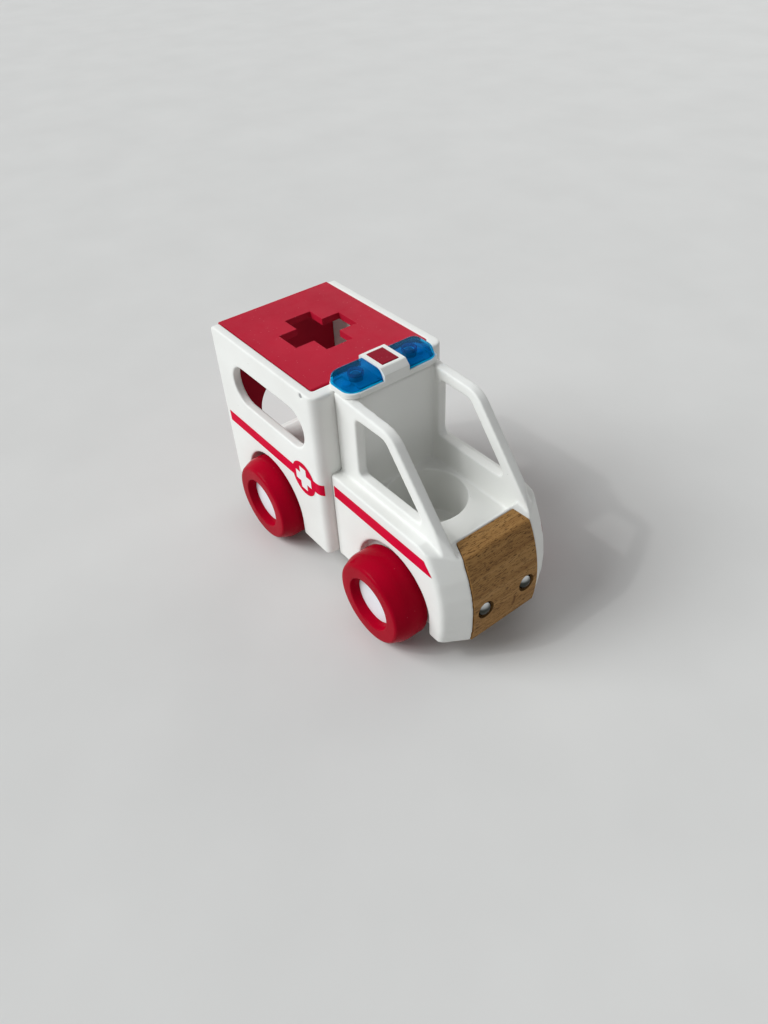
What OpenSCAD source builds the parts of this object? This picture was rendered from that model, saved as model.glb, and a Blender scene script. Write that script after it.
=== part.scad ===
// Toy ambulance: a white cab and box on four free wheels, with a red roof lid that tips up,
// a round seat well, a wooden nose and a light bar with a push button.
// Millimetres, +X to the front, +Z up, origin on the ground under the middle of the length.

/* [Body] */
// Length from the rear edge to the tips of the headlamps
overall_l = 160.5; // [158:0.5:168]
// Height of the body's lower edge above the ground
body_z = 13; // [12:0.5:14]
// Thickness of the white outer walls
wall = 4; // [3.5:0.25:4.5]

/* [Box] */
// Length of the box, which shares the overall length with the cab
box_l = 82; // [80:1:86]
// Width of the box over its side walls
box_w = 68; // [66:1:72]
// Height of the roof above the ground
roof_z = 98; // [96:1:104]
// Height of the cargo floor above the body's lower edge
floor_h = 18; // [17.5:0.5:21]
// Thickness of the cargo floor
floor_t = 2.5; // [2:0.25:3]
// Thickness of the sill under the rear doorway
sill_t = 3; // [2:0.5:4]
// Radius of the box's upright rear edges
box_rear_r = 1; // [0.5:0.1:2]
// Radius of the box's upright front corners
box_corner_r = 4.5; // [2:0.5:6]
// Radius of the box's corners seen from the side
box_edge_r = 3; // [1:0.5:5]
// Distance from the rear edge to the side window
window_x = 14.5; // [10:0.5:18]
// Distance from the side window to the front of the box
window_front = 10; // [8:0.5:24]
// Height of the side window
window_h = 19.8; // [14:0.2:22]
// Height of the middle of the side window above the ground
window_z = 75.9; // [70:0.1:78]
// Length of the roof frame in front of the lid
rim_l = 6; // [5.5:0.5:8]

/* [Lid] */
// Thickness of the roof lid
lid_t = 3.2; // [2.8:0.1:4]
// Depth of the step in the floor that the lid's rear wall closes into
sill_step = 0.8; // [0.6:0.1:1.2]
// Thickness of the rear wall that hangs from the lid
gate_t = 3; // [2:0.25:4]
// Radius of the lid's front and rear edges
lid_edge_r = 1; // [0.6:0.1:1.2]
// Gap between the lid's front edge and the roof frame
lid_front_gap = 0.5; // [0.4:0.1:1]
// Distance from the rear edge to the middle of the cross
cross_x = 37; // [30:0.5:44]
// Length of the cross along the roof
cross_l = 33; // [20:0.5:40]
// Width of the cross over the roof
cross_w = 32; // [20:0.5:40]
// Width of each arm of the cross
cross_arm = 13.5; // [8:0.5:18]
// Width of the rear doorway
door_w = 34; // [24:1:40]
// Height of the top of the rear doorway above the ground
door_z = 62; // [56:1:70]
// Diameter of the hinge pins
pin_d = 1.8; // [1.4:0.1:2]
// Length of each hinge pin
pin_l = 9.5; // [8:0.5:14]
// Distance from the lid's front edge to the hinge pins
pin_back = 2; // [1.8:0.1:2.6]

/* [Cab] */
// Length of the cab, which shares the overall length with the box
cab_l = 78.5; // [75:0.5:82]
// Width of the cab over its side walls
cab_w = 58.2; // [57:0.2:62]
// Height of the waist ledge above the ground
waist_z = 59; // [57:0.5:61]
// Height of the deck inside the cab above the ground
deck_z = 50; // [48:0.5:52]
// Thickness of the deck
deck_t = 2.5; // [2:0.25:3]
// Width over the window frames of the cab
hoop_w = 47.6; // [46:0.2:50]
// Thickness of the window frames
hoop_t = 4.6; // [4:0.1:5]
// Height of the bend in the window frames above the ground
hoop_z = 96; // [93:0.5:97]
// Length of the top of the window frames
hoop_top_l = 35.5; // [30:0.5:38]
// Length of the window frames at the waist
hoop_foot_l = 66; // [62:0.5:68]
// Radius of the bend at the top of the window frames
hoop_r = 12; // [6:1:16]
// Distance from the box to the cab window
cab_window_x = 13.5; // [10:0.5:16]
// Height of the cab window's lower edge above the ground
cab_window_z = 63.5; // [62:0.5:68]
// Width of the frame above the cab window
hoop_rail = 4.2; // [3:0.2:6]
// Width of the sloping pillar in front of the cab window
hoop_pillar = 5.6; // [4:0.2:7]
// Corner radius of the cab window
cab_window_r = 2.5; // [1:0.5:4]
// Length of the hollow bulkhead behind the seat
bulkhead_l = 9.8; // [9:0.1:10.8]
// Wall thickness of the bulkhead
bulkhead_t = 2; // [1.5:0.1:2.5]
// Depth of the groove under the light bar's front
groove_l = 1.2; // [0.6:0.1:1.4]
// Height of the groove under the light bar's front
groove_h = 1; // [0.6:0.1:1.2]

/* [Seat] */
// Diameter of the seat well
seat_d = 34.8; // [30:0.2:35.2]
// Distance from the box to the middle of the seat well
seat_x = 28.4; // [28:0.1:30]
// Gap between the axle bearing blocks and the seat well above them
seat_gap = 0.5; // [0.4:0.1:8]
// Wall thickness of the seat well
seat_t = 1.6; // [1.2:0.1:1.8]

/* [Nose] */
// Width of the wooden nose
nose_w = 35; // [32:0.5:38]
// Width of the wooden nose at its upper rear edge
nose_top_w = 30.2; // [26:0.2:32]
// Height of the bend between the nose's face and its top
nose_z = 54.6; // [52:0.2:56]
// Rise of the nose's top from the bend to its rear edge
nose_rise = 2.3; // [1:0.1:4]
// Length of the nose's top behind the bend
nose_top_l = 7.1; // [6:0.1:9]
// Radius of the bow of the nose's face seen from the side
nose_bow_r = 62; // [50:1:90]
// Height above the ground where the nose reaches furthest forward
nose_bow_z = 25.5; // [20:0.5:32]
// Radius of the bend in the nose
nose_r = 3; // [1:0.5:4]
// Thickness of the cab's wall behind the nose
nose_wall = 4; // [3:0.25:5]
// Thickness of that wall where it stands above the deck
nose_rim = 1.6; // [1.2:0.1:2.4]
// Setback of the cab's front corners behind the nose
cheek_back = 7; // [5:0.5:9]
// Radius of the cab's front corners seen from above
cheek_r = 3.5; // [3:0.5:8]

/* [Headlamps] */
// Height of the headlamps above the ground
lamp_z = 27.9; // [24:0.1:32]
// Distance between the two headlamps
lamp_spacing = 22.6; // [16:0.2:26]
// Diameter of the headlamp domes
lamp_d = 6.6; // [4:0.2:7]
// Rise of the headlamp domes over the wood
lamp_rise = 0.8; // [0.4:0.1:1.6]
// Diameter of the recess round each headlamp
lamp_recess_d = 8.2; // [7.2:0.2:9]
// Depth of the recess round each headlamp
lamp_recess = 1.6; // [1:0.1:2]
// Diameter of the headlamp shanks
lamp_shank_d = 2.4; // [1.8:0.2:3]

/* [Wheels] */
// Diameter of the tyres
tyre_d = 42; // [41:0.2:43]
// Width of the tyres
tyre_w = 16; // [14:0.5:16]
// Width over the outer faces of the tyres
track_w = 85; // [85:0.5:90]
// Distance from the tips of the headlamps to the front axle
front_axle = 38.7; // [38:0.1:40]
// Distance from the rear edge to the rear axle
rear_axle = 37.3; // [37:0.1:39]
// Width of the sloping shoulder between the tread and the face of the tyres
shoulder_w = 5.5; // [4:0.5:7]
// Drop of the shoulder from the tread to the face of the tyres
shoulder_h = 2.4; // [1:0.1:3]
// Radius between the tread and the shoulder
shoulder_r = 10; // [4:1:12]
// Radius between the shoulder and the face of the tyres
face_r = 1.8; // [0.6:0.2:2.4]
// Radius of the tyres' inner shoulder
inner_r = 2; // [1:0.5:4]
// Distance from the tread of the tyres in to their dish
rim_w = 8.7; // [8:0.1:9.2]
// Depth of the dish in each tyre
dish_depth = 4; // [2:0.1:5]
// Width of the sloping ring of the dish round the hub
dish_w = 1.1; // [0.6:0.1:2]
// Thickness of the hub over the end of the axle
hub_cap = 1.5; // [1:0.1:3]
// Diameter of the axles
axle_d = 4; // [3:0.1:4.4]
// Gap between the tyres and the wheel arches round them
arch_gap = 2.2; // [1.4:0.1:3]
// Gap between the tyres' inner faces and the wheel wells
well_gap = 1; // [0.6:0.1:1.4]
// Depth of the wheel arches in the cab's sides where the tyres stand further out
arch_lip = 3.6; // [3:0.1:3.6]
// Thickness of the wheel wells behind the tyres
well_t = 1.6; // [1.2:0.1:2]

/* [Chassis] */
// Thickness of the chassis plate
chassis_t = 2.5; // [2.2:0.1:3]
// Gap between the chassis plate and the wheel wells
chassis_gap = 0.9; // [0.4:0.1:2]
// Length of each axle bearing block
post_l = 9; // [7:0.5:11]
// Width of each axle bearing block
post_w = 4; // [3:0.25:4.5]
// Gap between the axle bearing blocks and the wheel wells
post_gap = 1.7; // [1.4:0.1:2]
// Height of the axle bearing blocks above the axle's middle
post_h = 3.4; // [3.2:0.1:3.6]
// Distance from the middle to the body screws under the box
screw_y = 16; // [14.8:0.2:17]
// Distance from the edge of the chassis to the body screws under the cab
screw_in = 7; // [6:0.2:8]
// Gap between the bosses that take the screws and the walls beside them
boss_gap = 2; // [1:0.1:3]
// Length of the body screws
screw_l = 10; // [7:0.5:12]
// Diameter of the body screws
screw_d = 2.4; // [2:0.1:2.8]
// Diameter of the screw heads
screw_head_d = 5; // [4.4:0.2:5.4]
// Height of the screw heads
screw_head = 1.4; // [1:0.1:1.6]
// Diameter of the bosses that take the screws
boss_d = 6; // [5:0.2:6.4]

/* [Light bar] */
// Length of the light bar along the car
bar_l = 16.8; // [16.6:0.1:17]
// Width of the light bar across the foot of its lenses
bar_w = 46.4; // [44:0.2:48]
// Thickness of the light bar's base plate
bar_t = 1.5; // [1.2:0.1:2]
// Height of the middle block over the base plate
saddle_h = 5.7; // [5.5:0.1:7]
// Width of the middle block
saddle_w = 12.6; // [12:0.2:14]
// Height of the lenses over the base plate
lens_h = 5.3; // [5:0.1:6.5]
// Wall thickness of the lenses
lens_t = 1.2; // [0.8:0.1:1.4]
// Radius of the lenses' outer ends
lens_r = 5; // [4:0.5:7.5]
// Lean of the lenses' outer ends from foot to top
lens_lean = 1.6; // [0.8:0.1:2.4]
// Length of the white lip in front of the lenses
lip_l = 1; // [0.6:0.1:1.4]
// Height of the white lip above the roof
lip_h = 2.2; // [1.6:0.1:3]
// Length of the button along the car
button_l = 10.6; // [9:0.2:11]
// Width of the button
button_w = 8.2; // [7.6:0.1:8.4]
// Height of the button over the middle block
button_rise = 0.3; // [0.1:0.1:0.6]
// Travel of the button
button_travel = 1; // [0.4:0.1:1.1]

/* [Electronics] */
// Thickness of the circuit board
board_t = 1; // [0.8:0.1:1.2]
// Diameter of the light-emitting diodes
led_d = 5; // [3:0.5:5]
// Side of the switch under the button
switch_w = 6; // [5:0.1:6.2]
// Height of the switch's case
switch_h = 1.6; // [1.4:0.1:1.8]
// Diameter of the switch's plunger
plunger_d = 3; // [2:0.1:3.4]
// Thickness of the flat lead
lead_t = 0.8; // [0.6:0.1:1]
// Width of the flat lead
lead_w = 3; // [2:0.2:3.6]
// Bend radius of the flat lead
lead_r = 3; // [2:0.5:4]
// Height of the flat lead's level run above the body's lower edge
lead_h = 11; // [10.5:0.1:11.2]
// Distance from the box to the flat lead's upright run
lead_out = 2.4; // [2:0.1:4]
// Number of button cells
cells = 3; // [2:1:3]
// Diameter of the button cells
cell_d = 11.6; // [9.4:0.1:11.6]
// Height of each button cell
cell_h = 5.4; // [3:0.1:5.4]
// Distance of the button cells behind the middle between the rear axle and the box's front wall
battery_back = 2.65; // [2:0.05:3]
// Thickness of the battery contacts
contact_t = 0.5; // [0.3:0.1:0.8]
// Wall thickness of the battery tub
tub_t = 1.2; // [1:0.1:1.6]
// Thickness of the battery door
door_t = 1.6; // [1.4:0.1:1.7]
// Diameter of the speaker
speaker_d = 18; // [14:0.5:20]
// Height of the speaker
speaker_h = 4.5; // [3:0.1:5]
// Distance from the rear edge to the speaker
speaker_x = 20; // [19:0.1:21]

/* [Fits] */
// Clearance round a turning pin, at its radius
running = 0.05; // [0.02:0.01:0.1]
// Clearance between neighbouring pieces
gap = 0.3; // [0.2:0.05:0.4]
// Clearance of pieces that lie snugly in a pocket
snug = 0.1; // [0.05:0.05:0.2]

/* [Hidden] */
$fn = 64;
// Overlap that lets a cut pass a face
cut = 1;
// Degrees of arc for each straight step of a rounded corner
arc_step = 10;

// Radius of the edges of the tyres' faces
dish_r = 0.6;

// Colours
white = "#f1f1ee";
red = "#b8192f";
beech = "#b88a5a";
steel = "#b9bcc0";
blue = "#0f6fc0";
grey = "#55585c";
green = "#2f6f46";

// Places along the car
x_rear = -overall_l / 2;
x_front = overall_l / 2;
stretch = overall_l / (box_l + cab_l);
x_box = x_rear + box_l * stretch;
x_rim = x_box - rim_l;
x_bay = x_box - wall;
rear_axle_x = x_rear + rear_axle * stretch;
front_axle_x = x_front - front_axle * stretch;
window_l = x_box - x_rear - window_x - window_front;
seat_cx = x_box + seat_x;

// Heights
axle_z = tyre_d / 2;
floor_z = body_z + floor_h;
chassis_z = body_z + chassis_t;
lid_z = roof_z - lid_t;
seat_floor = axle_z + post_h + seat_gap + seat_t;
gate_z = floor_z - sill_step;

// Places across the car
bay_y = box_w / 2 - wall;
cab_in_y = cab_w / 2 - wall;
cockpit_y = hoop_w / 2 - hoop_t;
tyre_y = track_w / 2 - tyre_w;
well_y = min(tyre_y - well_gap, cab_w / 2 - arch_lip);
well_back = well_y - well_t;
chassis_w = 2 * (well_back - chassis_gap);
post_y = well_back - post_gap - post_w;

// Wheels
arch_r = tyre_d / 2 + arch_gap;
well_x = arch_r + well_t;
dish_d = tyre_d - 2 * rim_w;
hub_d = dish_d - 2 * dish_w;
axle_hole = axle_d + 4 * gap;

// Lid and hinge
lid_y = bay_y - gap;
lid_front = x_rim - lid_front_gap;
pin_x = lid_front - pin_back;
pin_z = roof_z - lid_t / 2;

// Nose and cheeks
function bow(z) = nose_bow_r - sqrt(pow(nose_bow_r, 2) - pow(z - nose_bow_z, 2));
nose_x = x_front - lamp_rise + bow(lamp_z);
bend_x = nose_x - bow(nose_z);
wood_x = bend_x - nose_top_l;
wood_z = nose_z + nose_rise;
nose_wall_x = wood_x - nose_wall;
top_slope = nose_rise / nose_top_l;
lamp_x = x_front - lamp_rise - lamp_recess;
face_steps = 10;
cheek_step = 8;

// Foot of the sloping pillars, where they run out on the cab's top
hoop_top = hoop_top_l * stretch;
hoop_foot = hoop_foot_l * stretch;
pillar_run = (hoop_foot - hoop_top) / (hoop_z - waist_z);
pillar_share = 1 - pillar_run * top_slope;
foot_x = (x_box + hoop_foot + pillar_run * (waist_z - nose_z - top_slope * bend_x)) / pillar_share;
foot_z = nose_z + (bend_x - foot_x) * top_slope;
foot_root = 5;
foot_lean = asin((nose_z - nose_bow_z) / nose_bow_r);

// Body screws
boss_in = boss_d / 2 + boss_gap;
box_screws = [[x_rear + sill_t + boss_in, screw_y], [x_bay - boss_in, screw_y]];
cab_screw_y = chassis_w / 2 - screw_in;
cab_screws = [[x_box + boss_in, cab_screw_y], [nose_wall_x - boss_in, cab_screw_y]];

// Light bar
bar_x = x_rim;
bar_z = roof_z + bar_t;
saddle_z = bar_z + saddle_h;
saddle_top = 1.5;
saddle_side = 1.2;
bar_bevel = 2.5;
lens_bevel = 3;
lens_brow_r = 1;
base_in = lens_t + snug + lens_lean / 2;
lens_front = bar_x + bar_l - lip_l - snug;
cavity_x = bar_x + lens_t + snug;
board_x0 = bar_x + base_in;
board_x1 = bar_x + bar_l - bar_bevel - snug;
led_foot = 0.6;
magnet_share = 0.6;
button_back = 0.9;
button_x = bar_x + bar_l / 2 - button_back;
button_z = saddle_z + button_rise;
button_flange = 0.5;
flange_t = 0.7;
flange_z = saddle_z - saddle_top - snug - flange_t;
board_z = bar_z + board_t;
plunger_bite = 0.4;
bar_screw_l = 10;
bar_screw_d = 2;
bar_screw_head_d = 3.6;
bar_screw_head = 1.2;
bar_screw_x = (bar_x + lens_front) / 2;
bar_screw_y = bar_w / 2 - lens_lean - lens_t - bar_screw_head_d / 2 - snug;
board_w = 2 * bar_screw_y - bar_screw_head_d - 2 * gap;
led_y = board_w / 2 - led_d / 2 - gap;

// Lead
lead_x = x_box + lead_out;
lead_z = body_z + lead_h;
lead_half = lead_w / 2 + gap;

// Battery
cell_x = (rear_axle_x + x_bay) / 2 - battery_back;
cell_z = body_z + door_t + snug + cell_d / 2;
tub_x = cell_d / 2 + gap;
tub_y = cells * cell_h / 2 + contact_t + snug;
tub_front = cell_x + tub_x + tub_t;
door_lip = 2;
door_screw_x = tub_front + boss_d / 2 + gap;
door_end = door_screw_x + screw_head_d / 2 + door_lip / 2;

// Arc points that round the corner at q, between p and s, with radius r
function unit(v) = v / norm(v);
function wrap(a) = a > 180 ? a - 360 : a < -180 ? a + 360 : a;
function heading(v) = atan2(v[1], v[0]);
function corner_arc(p, q, s, r) =
    let (u = unit(p - q), v = unit(s - q), half = acos(u * v) / 2)
    let (c = q + unit(u + v) * r / sin(half), reach = r / tan(half))
    let (start = heading(q + u * reach - c), turn = wrap(heading(q + v * reach - c) - start))
    let (n = max(3, ceil(abs(turn) / arc_step)))
    [for (i = [0:n]) c + r * [cos(start + turn * i / n), sin(start + turn * i / n)]];

// Outline through points [x, y, corner radius]
function flat(p) = [p[0], p[1]];
function rounded(pts) =
    let (n = len(pts))
    [for (i = [0:n - 1]) each
        pts[i][2] > 0
            ? corner_arc(flat(pts[(i + n - 1) % n]), flat(pts[i]), flat(pts[(i + 1) % n]), pts[i][2])
            : [flat(pts[i])]];

// A side-view outline made solid from y0 to y1
module slab(y0, y1) {
    translate([0, y1, 0]) rotate([90, 0, 0]) linear_extrude(y1 - y0) children();
}

module both_sides() {
    children();
    mirror([0, 1, 0]) children();
}

// A box between two corners
module block(a, b) {
    translate(a) cube(b - a);
}

// A rod along Y from y0 to y1
module cross_rod(x, z, d, y0, y1) {
    translate([x, y0, z]) rotate([-90, 0, 0]) cylinder(d = d, h = y1 - y0);
}

// Side view of a wheel arch down to the height z
module arch(x, r, z) {
    intersection() {
        union() {
            translate([x, axle_z]) circle(r);
            translate([x - r, z]) square([2 * r, axle_z - z]);
        }
        translate([x - r, z]) square([2 * r, axle_z + r - z]);
    }
}

module wheel_space(x, y1) {
    slab(well_y, y1 + cut) arch(x, arch_r, body_z - cut);
    cross_rod(x, axle_z, axle_hole, well_back - cut, well_y + cut);
}

module wheel_well(x, y1) {
    slab(well_back, y1) arch(x, well_x, body_z);
}

module box_outline() {
    polygon(rounded([
        [x_rear, body_z, box_edge_r], [x_box, body_z, box_edge_r],
        [x_box, roof_z, box_edge_r / 2], [x_rear, roof_z, box_edge_r]
    ]));
}

module box_plan() {
    y = box_w / 2;
    polygon(rounded([
        [x_rear, -y, box_rear_r], [x_box, -y, box_corner_r],
        [x_box, y, box_corner_r], [x_rear, y, box_rear_r]
    ]));
}

module stadium(x, z, l, h) {
    translate([x + h / 2, z - h / 2]) square([l - h, h]);
    translate([x + h / 2, z]) circle(d = h);
    translate([x + l - h / 2, z]) circle(d = h);
}

module bosses(places, z_top) {
    for (p = places) both_sides()
        translate([p[0], p[1], chassis_z]) cylinder(d = boss_d, h = z_top - chassis_z);
}

module pilots(places) {
    for (p = places) both_sides()
        translate([p[0], p[1], chassis_z - cut]) cylinder(d = screw_d + 2 * running, h = screw_l + cut);
}

module cargo_space() {
    step_x = x_rear + snug + gate_t + gap;
    block([x_rear - cut, -bay_y, floor_z], [x_rim, bay_y, roof_z + cut]);
    block([x_rear - cut, -bay_y, gate_z], [step_x, bay_y, floor_z + cut]);
    block([x_rim - cut, -bay_y, floor_z], [x_bay, bay_y, lid_z]);
}

module underfloor_space() {
    block([x_rear + sill_t, -bay_y, body_z - cut], [x_bay, bay_y, floor_z - floor_t]);
}

// Slots in the front wall for the flat lead and the chassis
module rear_body_slots() {
    slot_z = lead_t / 2 + gap;
    notch = chassis_w / 2 + gap;
    block([x_bay - cut, -lead_half, lead_z - slot_z], [x_box + cut, lead_half, lead_z + slot_z]);
    block([x_bay - cut, -notch, body_z - cut], [x_box + cut, notch, chassis_z + gap]);
}

module rear_body() {
    color(white) difference() {
        union() {
            difference() {
                intersection() {
                    slab(-box_w / 2, box_w / 2) box_outline();
                    translate([0, 0, body_z]) linear_extrude(roof_z - body_z) box_plan();
                }
                cargo_space();
                underfloor_space();
            }
            both_sides() wheel_well(rear_axle_x, bay_y + wall / 2);
            bosses(box_screws, floor_z - floor_t / 2);
        }
        both_sides() wheel_space(rear_axle_x, box_w / 2);
        both_sides() slab(bay_y - cut, box_w / 2 + cut)
            stadium(x_rear + window_x, window_z, window_l, window_h);
        pilots(box_screws);
        both_sides() cross_rod(pin_x, pin_z, pin_d, bay_y - cut, box_w / 2 + cut);
        rear_body_slots();
    }
}

// Points up the bowed face of the nose, the last with the radius of the bend
function nose_face() = [
    for (i = [0:face_steps])
        let (z = body_z + (nose_z - body_z) * i / face_steps)
        [nose_x - bow(z), z, i < face_steps ? 0 : nose_r]
];

// Side view of the cab up to its waist
module cab_outline() {
    top_x = bend_x - (waist_z - nose_z) / top_slope;
    polygon(rounded(concat(
        [[x_box, body_z, 0]], nose_face(), [[top_x, waist_z, 0], [x_box, waist_z, 0]]
    )));
}

// The cab seen from above with its front at x = 0, where the cheeks fall back beside the nose
module cab_plan() {
    y = cab_w / 2;
    back = -overall_l;
    polygon(rounded([
        [back, -y, 0], [-cheek_back, -y, cheek_r], [0, -nose_w / 2, 0],
        [0, nose_w / 2, 0], [-cheek_back, y, cheek_r], [back, y, 0]
    ]));
}

// The cab's plan made solid along the bow where the bow leans back by the angle a
module cheek_prism(a) {
    translate([nose_x - nose_bow_r * (1 - cos(a)), 0, nose_bow_z + nose_bow_r * sin(a)]) rotate([0, -a, 0])
        translate([0, 0, -roof_z]) linear_extrude(2 * roof_z) cab_plan();
}

// The cab's outer form: its side view, with cheeks that bow back with the nose
module cab_envelope() {
    intersection() {
        slab(-cab_w / 2, cab_w / 2) cab_outline();
        cheek_prism(-cheek_step);
        cheek_prism(0);
        cheek_prism(cheek_step);
        cheek_prism(2 * cheek_step);
        cheek_prism(3 * cheek_step);
    }
}

module cab_hollow() {
    block([x_box - cut, -cab_in_y, body_z - cut], [nose_wall_x, cab_in_y, deck_z - deck_t]);
    rib_y = cockpit_y + hoop_t / 2;
    both_sides() block([x_box - cut, rib_y, body_z - cut], [nose_wall_x, cab_in_y, waist_z - deck_t]);
}

module cockpit() {
    block([x_box - cut, -cockpit_y, deck_z], [wood_x - nose_rim, cockpit_y, waist_z + cut]);
}

// Side view of a window frame: a rail that falls from the roof, a bend and a sloping pillar
module hoop_outline() {
    polygon(rounded([
        [x_box, deck_z - deck_t, 0], [foot_x - foot_root, deck_z - deck_t, 0], [foot_x, foot_z, 0],
        [x_box + hoop_top, hoop_z, hoop_r], [x_box, roof_z, 0]
    ]));
}

module cab_window() {
    back = hoop_pillar * norm([pillar_run, 1]);
    z_top = hoop_z - hoop_rail;
    x_top = x_box + hoop_top + (hoop_z - z_top) * pillar_run - back;
    x_low = x_top + (z_top - cab_window_z) * pillar_run;
    r = cab_window_r;
    polygon(rounded([
        [x_box + cab_window_x, cab_window_z, r], [x_low, cab_window_z, r],
        [x_top, z_top, 2 * r], [x_box + cab_window_x, z_top, r]
    ]));
}

// The hollow bulkhead between the box and the seat, with a top that carries the light bar
module bulkhead() {
    side = cockpit_y - bulkhead_t;
    top_y = bar_w / 2 - lens_lean;
    x1 = x_box + bulkhead_l;
    difference() {
        union() {
            block([x_box, -cockpit_y, deck_z - deck_t / 2], [x1, cockpit_y, roof_z]);
            block([x_box, -top_y, hoop_z - cut], [x1, top_y, roof_z]);
        }
        block([x_box - cut, -side, deck_z], [x1 - bulkhead_t, side, roof_z - bulkhead_t]);
        block([x1 - groove_l, -cockpit_y, roof_z - groove_h], [x1 + cut, cockpit_y, roof_z + cut]);
    }
}

// Room for the flat lead's upright run from the height z0 to z1
module lead_slot(z0, z1) {
    block([lead_x - gap, -lead_half, z0], [lead_x + lead_t + gap, lead_half, z1]);
}

module lamp_axis(side) {
    translate([lamp_x, side * lamp_spacing / 2, lamp_z]) rotate([0, 90, 0]) children();
}

module cab_shell() {
    color(white) difference() {
        union() {
            difference() {
                cab_envelope();
                cab_hollow();
                cockpit();
            }
            bulkhead();
            both_sides() intersection() {
                slab(cockpit_y, hoop_w / 2) hoop_outline();
                cheek_prism(foot_lean);
            }
            both_sides() wheel_well(front_axle_x, cab_in_y + wall / 2);
            bosses(cab_screws, deck_z - deck_t / 2);
            translate([seat_cx, 0, seat_floor - seat_t])
                cylinder(d = seat_d + 2 * seat_t, h = deck_z - deck_t / 2 - seat_floor + seat_t);
        }
        translate([0, 0, body_z - cut]) linear_extrude(waist_z) nose_plan(snug);
        bar_screw_places() translate([0, 0, bar_z - bar_screw_l])
            cylinder(d = bar_screw_d + 2 * running, h = bar_screw_l);
        lead_slot(deck_z - deck_t - cut, roof_z + cut);
        both_sides() wheel_space(front_axle_x, cab_w / 2);
        both_sides() slab(cockpit_y - cut, hoop_w / 2 + cut) cab_window();
        pilots(cab_screws);
        for (side = [-1, 1]) lamp_axis(side)
            translate([0, 0, nose_wall_x - lamp_x - cut])
                cylinder(d = lamp_shank_d + 2 * running, h = nose_wall + 2 * cut);
        translate([seat_cx, 0, seat_floor]) cylinder(d = seat_d, h = deck_z - seat_floor + cut, $fn = 96);
    }
}

// The wooden nose seen from above, grown by the clearance c
module nose_plan(c) {
    x0 = wood_x - c;
    x1 = nose_x + cut;
    y0 = nose_top_w / 2 + c;
    y1 = nose_w / 2 + c;
    polygon([[x0, -y0], [bend_x, -y1], [x1, -y1], [x1, y1], [bend_x, y1], [x0, y0]]);
}

module wood_nose() {
    hole_d = lamp_shank_d + 2 * running;
    color(beech) difference() {
        intersection() {
            slab(-nose_w, nose_w)
                polygon(rounded(concat([[wood_x, body_z, 0]], nose_face(), [[wood_x, wood_z, 0]])));
            translate([0, 0, body_z - cut]) linear_extrude(waist_z) nose_plan(0);
        }
        for (side = [-1, 1]) lamp_axis(side) {
            cylinder(d = lamp_recess_d, h = lamp_recess + cut);
            translate([0, 0, wood_x - lamp_x - cut]) cylinder(d = hole_d, h = nose_x - wood_x + cut);
        }
    }
}

// A domed screw that stands for a headlamp and holds the nose to the cab
module headlamp(side) {
    rise = lamp_rise + lamp_recess;
    collar = max(rise - lamp_d / 2, 0);
    color(steel) lamp_axis(side) {
        cylinder(d = lamp_d, h = collar);
        intersection() {
            translate([0, 0, collar]) sphere(d = lamp_d);
            cylinder(d = lamp_d, h = rise);
        }
        translate([0, 0, nose_wall_x - lamp_x])
            cylinder(d = lamp_shank_d, h = lamp_x - nose_wall_x + collar / 2);
    }
}

module headlamp_left() {
    headlamp(1);
}

module headlamp_right() {
    headlamp(-1);
}

module battery_tub() {
    wall_x = tub_x + tub_t;
    wall_y = tub_y + tub_t;
    block([cell_x - wall_x, -wall_y, body_z], [cell_x + wall_x, wall_y, floor_z - floor_t - gap]);
}

module door_outline(c) {
    x0 = cell_x - tub_x - door_lip - c;
    y = tub_y + tub_t + door_lip + c;
    translate([x0, -y]) square([door_end + c - x0, 2 * y]);
}

module chassis_plate() {
    x0 = x_rear + sill_t + gap;
    ear_y = bay_y - gap;
    block([x0, -chassis_w / 2, body_z], [nose_wall_x - gap, chassis_w / 2, chassis_z]);
    block([x0, -ear_y, body_z], [rear_axle_x - well_x - gap, ear_y, chassis_z]);
    block([rear_axle_x + well_x + gap, -ear_y, body_z], [x_bay - gap, ear_y, chassis_z]);
}

// A round hole for a screw that comes up through the chassis, with room for its head
module screw_hole(x, y) {
    translate([x, y, body_z - cut]) {
        cylinder(d = screw_d + 2 * gap, h = chassis_t + 2 * cut);
        cylinder(d = screw_head_d + 2 * gap, h = screw_head + snug + cut);
    }
}

module speaker_grille() {
    hole = speaker_d / 8;
    deep = chassis_t + 2 * cut;
    translate([x_rear + speaker_x, 0, body_z - cut]) {
        cylinder(d = hole, h = deep);
        for (a = [0:60:300]) rotate(a) translate([speaker_d / 4, 0]) cylinder(d = hole, h = deep);
    }
}

module chassis() {
    color(white) difference() {
        union() {
            chassis_plate();
            for (x = [rear_axle_x, front_axle_x]) both_sides()
                block([x - post_l / 2, post_y, body_z], [x + post_l / 2, post_y + post_w, axle_z + post_h]);
            battery_tub();
            translate([door_screw_x, 0, body_z]) cylinder(d = boss_d, h = lead_h - lead_t / 2 - gap - snug);
        }
        for (x = [rear_axle_x, front_axle_x])
            cross_rod(x, axle_z, axle_d + 2 * running, -chassis_w, chassis_w);
        block([cell_x - tub_x, -tub_y, body_z - cut], [cell_x + tub_x, tub_y, floor_z]);
        translate([0, 0, body_z - cut]) linear_extrude(door_t + snug + cut) door_outline(gap);
        translate([door_screw_x, 0, body_z]) cylinder(d = screw_d + 2 * running, h = lead_h);
        for (p = concat(box_screws, cab_screws)) both_sides() screw_hole(p[0], p[1]);
        speaker_grille();
    }
}

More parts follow.
